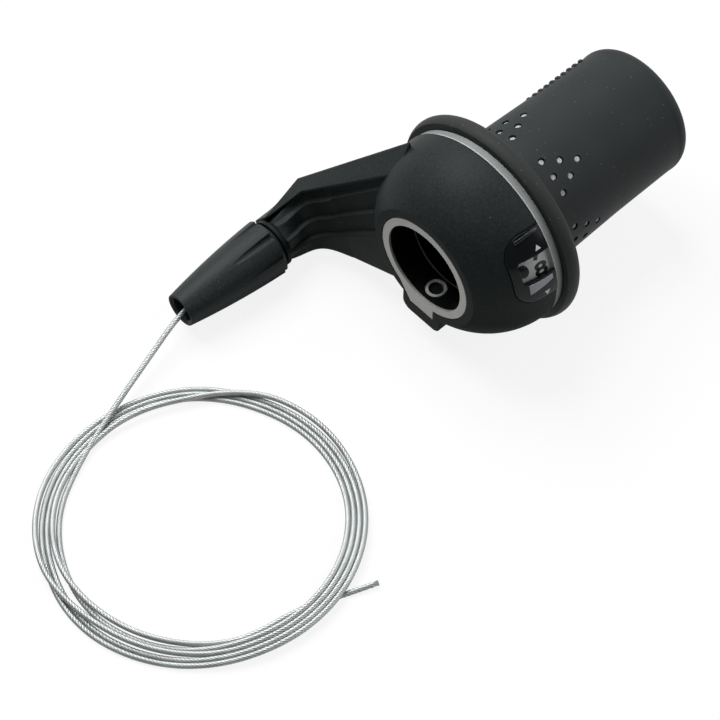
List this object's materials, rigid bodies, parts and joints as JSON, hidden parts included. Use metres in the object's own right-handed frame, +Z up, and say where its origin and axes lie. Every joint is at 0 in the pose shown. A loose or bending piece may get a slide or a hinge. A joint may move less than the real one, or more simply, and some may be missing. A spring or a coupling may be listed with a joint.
{
  "type": "twist grip shifter",
  "caption": "Right-hand twist grip gear shifter for a bicycle handlebar, with a moulded dome, ribbed cable arm, gear window, barrel adjuster and coiled gear cable.",
  "frame": {"origin": "on the handlebar axis at the inner face of the clamp ring", "axes": "+X along the handlebar towards its outer end, +Z up from the floor the shifter lies on, +Y on the side of the cable arm, which droops"},
  "size_m": [0.1719, 0.0862, 0.0526],
  "materials": {
    "moulded_black": "fine moulded texture, matte black",
    "cast_ring": "satin die-cast light grey",
    "steel": "bright zinc",
    "sleeve_black": "smooth black bearing plastic",
    "gloss_black": "polished black",
    "guide_liner": "slippery white liner",
    "brass_insert": "machined",
    "washer_plastic": "natural white",
    "cable": "galvanised strand",
    "grey_plastic": "light grey moulding",
    "number_grey": "light grey with dark numbers",
    "grip_rubber": "matte charcoal with dust",
    "cast_head": "die-cast",
    "collar_black": "matte black",
    "knob_black": "semi-matte black"
  },
  "bodies": {
    "bracket": {"housing": "moulded_black", "clamp_ring": "cast_ring", "clamp_screw": "steel", "bar_sleeve": "sleeve_black", "window_frame": "gloss_black", "detent_spring": "steel", "cable_guide": "guide_liner", "adjuster_insert": "brass_insert", "adjuster_spring": "steel", "thrust_washer": "washer_plastic", "grip_retainer": "steel", "cable_wrap": "cable", "cable_run": "cable", "cable_tail": "cable", "cable_coil": "cable", "cable_end": "cable"},
    "grip": {"grip_core": "grey_plastic", "grip_rubber": "grip_rubber", "number_ring": "number_grey", "detent_ring": "washer_plastic", "cable_head": "cast_head"},
    "collar": {"adjuster_collar": "collar_black"},
    "barrel": {"adjuster_knob": "knob_black", "adjuster_bolt": "steel"}
  },
  "joints": [
    {"name": "grip_twist", "type": "hinge", "parent": "bracket", "child": "grip", "pos_m": [0, 0, 0], "axis": [1, 0, 0], "range_deg": [0, 77], "deforming": ["cable_wrap", "detent_spring"]},
    {"name": "adjuster_slide", "type": "slide", "parent": "bracket", "child": "collar", "axis": [-1, 0, 0], "range_m": [0, 0.0024], "deforming": ["adjuster_spring"]},
    {"name": "adjuster_turn", "type": "hinge", "parent": "collar", "child": "barrel", "pos_m": [-0.0265, 0.03865, -0.01885], "axis": [-1, 0, 0], "range_deg": [0, 1080]}
  ],
  "couplings": [
    {"joint": "adjuster_turn", "follows": "adjuster_slide", "rad_per_m": 7854}
  ]
}
